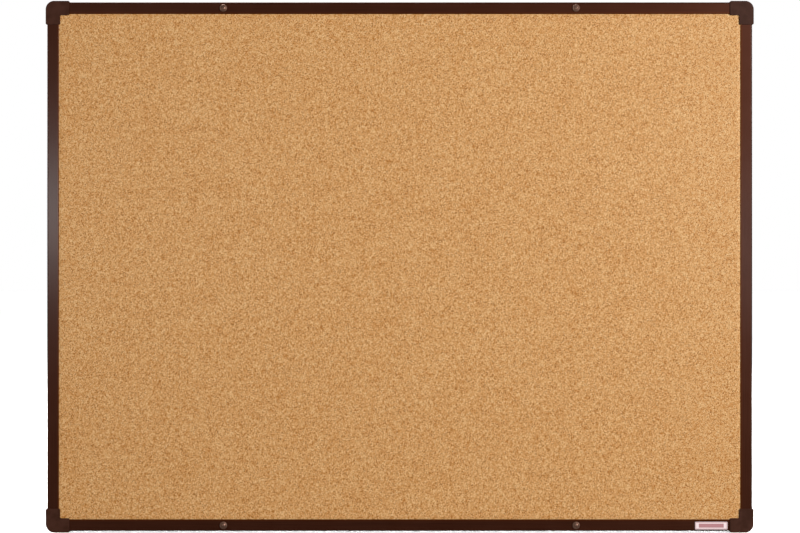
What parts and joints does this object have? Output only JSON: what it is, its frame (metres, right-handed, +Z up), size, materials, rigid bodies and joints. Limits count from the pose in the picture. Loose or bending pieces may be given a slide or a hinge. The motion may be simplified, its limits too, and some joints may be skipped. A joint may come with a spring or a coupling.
{
  "type": "cork bulletin board",
  "caption": "Framed cork notice board for a classroom wall: cork face in dark brown metal rails with plastic corner caps, held by screws in cup washers.",
  "frame": {"origin": "the middle of the board, on the wall's surface, which the backs of the corner caps touch", "axes": "+X to the right of someone who looks at the cork, along the long rails; +Y into the wall, so the cork faces -Y; +Z up"},
  "size_m": [1.204, 0.0463, 0.904],
  "materials": {
    "cork": "granulated cork, pressed and sanded, matt",
    "softboard": "wood fibre board, rough",
    "zinc_sheet": "galvanised, with a faint spangle",
    "rail_coating": "dark brown satin coating on extruded aluminium",
    "cap_plastic": "dark brown, finely textured",
    "key_plastic": "black, glass filled",
    "zinc_screw": "zinc plated",
    "bronzed": "steel with a dark bronze finish, satin, a little paler on its edges",
    "label_film": "pinkish white film, semi matt, with a plain red bar and keyline and no lettering"
  },
  "bodies": {
    "board": {"cork_sheet": "cork", "backing_board": "softboard", "rear_sheet": "zinc_sheet", "rail_bottom": "rail_coating", "rail_right": "rail_coating", "rail_top": "rail_coating", "rail_left": "rail_coating", "rail_label": "label_film", "corner_cap_bottom_left": "cap_plastic", "corner_key_bottom_left": "key_plastic", "corner_screw_bottom_left_1": "zinc_screw", "corner_screw_bottom_left_2": "zinc_screw", "corner_cap_bottom_right": "cap_plastic", "corner_key_bottom_right": "key_plastic", "corner_screw_bottom_right_1": "zinc_screw", "corner_screw_bottom_right_2": "zinc_screw", "corner_cap_top_right": "cap_plastic", "corner_key_top_right": "key_plastic", "corner_screw_top_right_1": "zinc_screw", "corner_screw_top_right_2": "zinc_screw", "corner_cap_top_left": "cap_plastic", "corner_key_top_left": "key_plastic", "corner_screw_top_left_1": "zinc_screw", "corner_screw_top_left_2": "zinc_screw"},
    "washer_bottom_left": {"cup_washer_bottom_left": "bronzed"},
    "screw_bottom_left": {"wall_screw_bottom_left": "bronzed"},
    "washer_bottom_right": {"cup_washer_bottom_right": "bronzed"},
    "screw_bottom_right": {"wall_screw_bottom_right": "bronzed"},
    "washer_top_right": {"cup_washer_top_right": "bronzed"},
    "screw_top_right": {"wall_screw_top_right": "bronzed"},
    "washer_top_left": {"cup_washer_top_left": "bronzed"},
    "screw_top_left": {"wall_screw_top_left": "bronzed"}
  },
  "joints": [
    {"name": "screw_travel_bottom_left", "type": "slide", "parent": "board", "child": "washer_bottom_left", "axis": [0, -1, 0], "range_m": [0, 0.0234]},
    {"name": "screw_turn_bottom_left", "type": "hinge", "parent": "washer_bottom_left", "child": "screw_bottom_left", "pos_m": [-0.3, -0.0203, -0.44], "axis": [0, -1, 0], "range_deg": [0, 4680]},
    {"name": "screw_travel_bottom_right", "type": "slide", "parent": "board", "child": "washer_bottom_right", "axis": [0, -1, 0], "range_m": [0, 0.0234]},
    {"name": "screw_turn_bottom_right", "type": "hinge", "parent": "washer_bottom_right", "child": "screw_bottom_right", "pos_m": [0.3, -0.0203, -0.44], "axis": [0, -1, 0], "range_deg": [0, 4680]},
    {"name": "screw_travel_top_right", "type": "slide", "parent": "board", "child": "washer_top_right", "axis": [0, -1, 0], "range_m": [0, 0.0234]},
    {"name": "screw_turn_top_right", "type": "hinge", "parent": "washer_top_right", "child": "screw_top_right", "pos_m": [0.3, -0.0203, 0.44], "axis": [0, -1, 0], "range_deg": [0, 4680]},
    {"name": "screw_travel_top_left", "type": "slide", "parent": "board", "child": "washer_top_left", "axis": [0, -1, 0], "range_m": [0, 0.0234]},
    {"name": "screw_turn_top_left", "type": "hinge", "parent": "washer_top_left", "child": "screw_top_left", "pos_m": [-0.3, -0.0203, 0.44], "axis": [0, -1, 0], "range_deg": [0, 4680]}
  ],
  "couplings": [
    {"joint": "screw_turn_bottom_left", "follows": "screw_travel_bottom_left", "rad_per_m": 3490.7},
    {"joint": "screw_turn_bottom_right", "follows": "screw_travel_bottom_right", "rad_per_m": 3490.7},
    {"joint": "screw_turn_top_right", "follows": "screw_travel_top_right", "rad_per_m": 3490.7},
    {"joint": "screw_turn_top_left", "follows": "screw_travel_top_left", "rad_per_m": 3490.7}
  ]
}
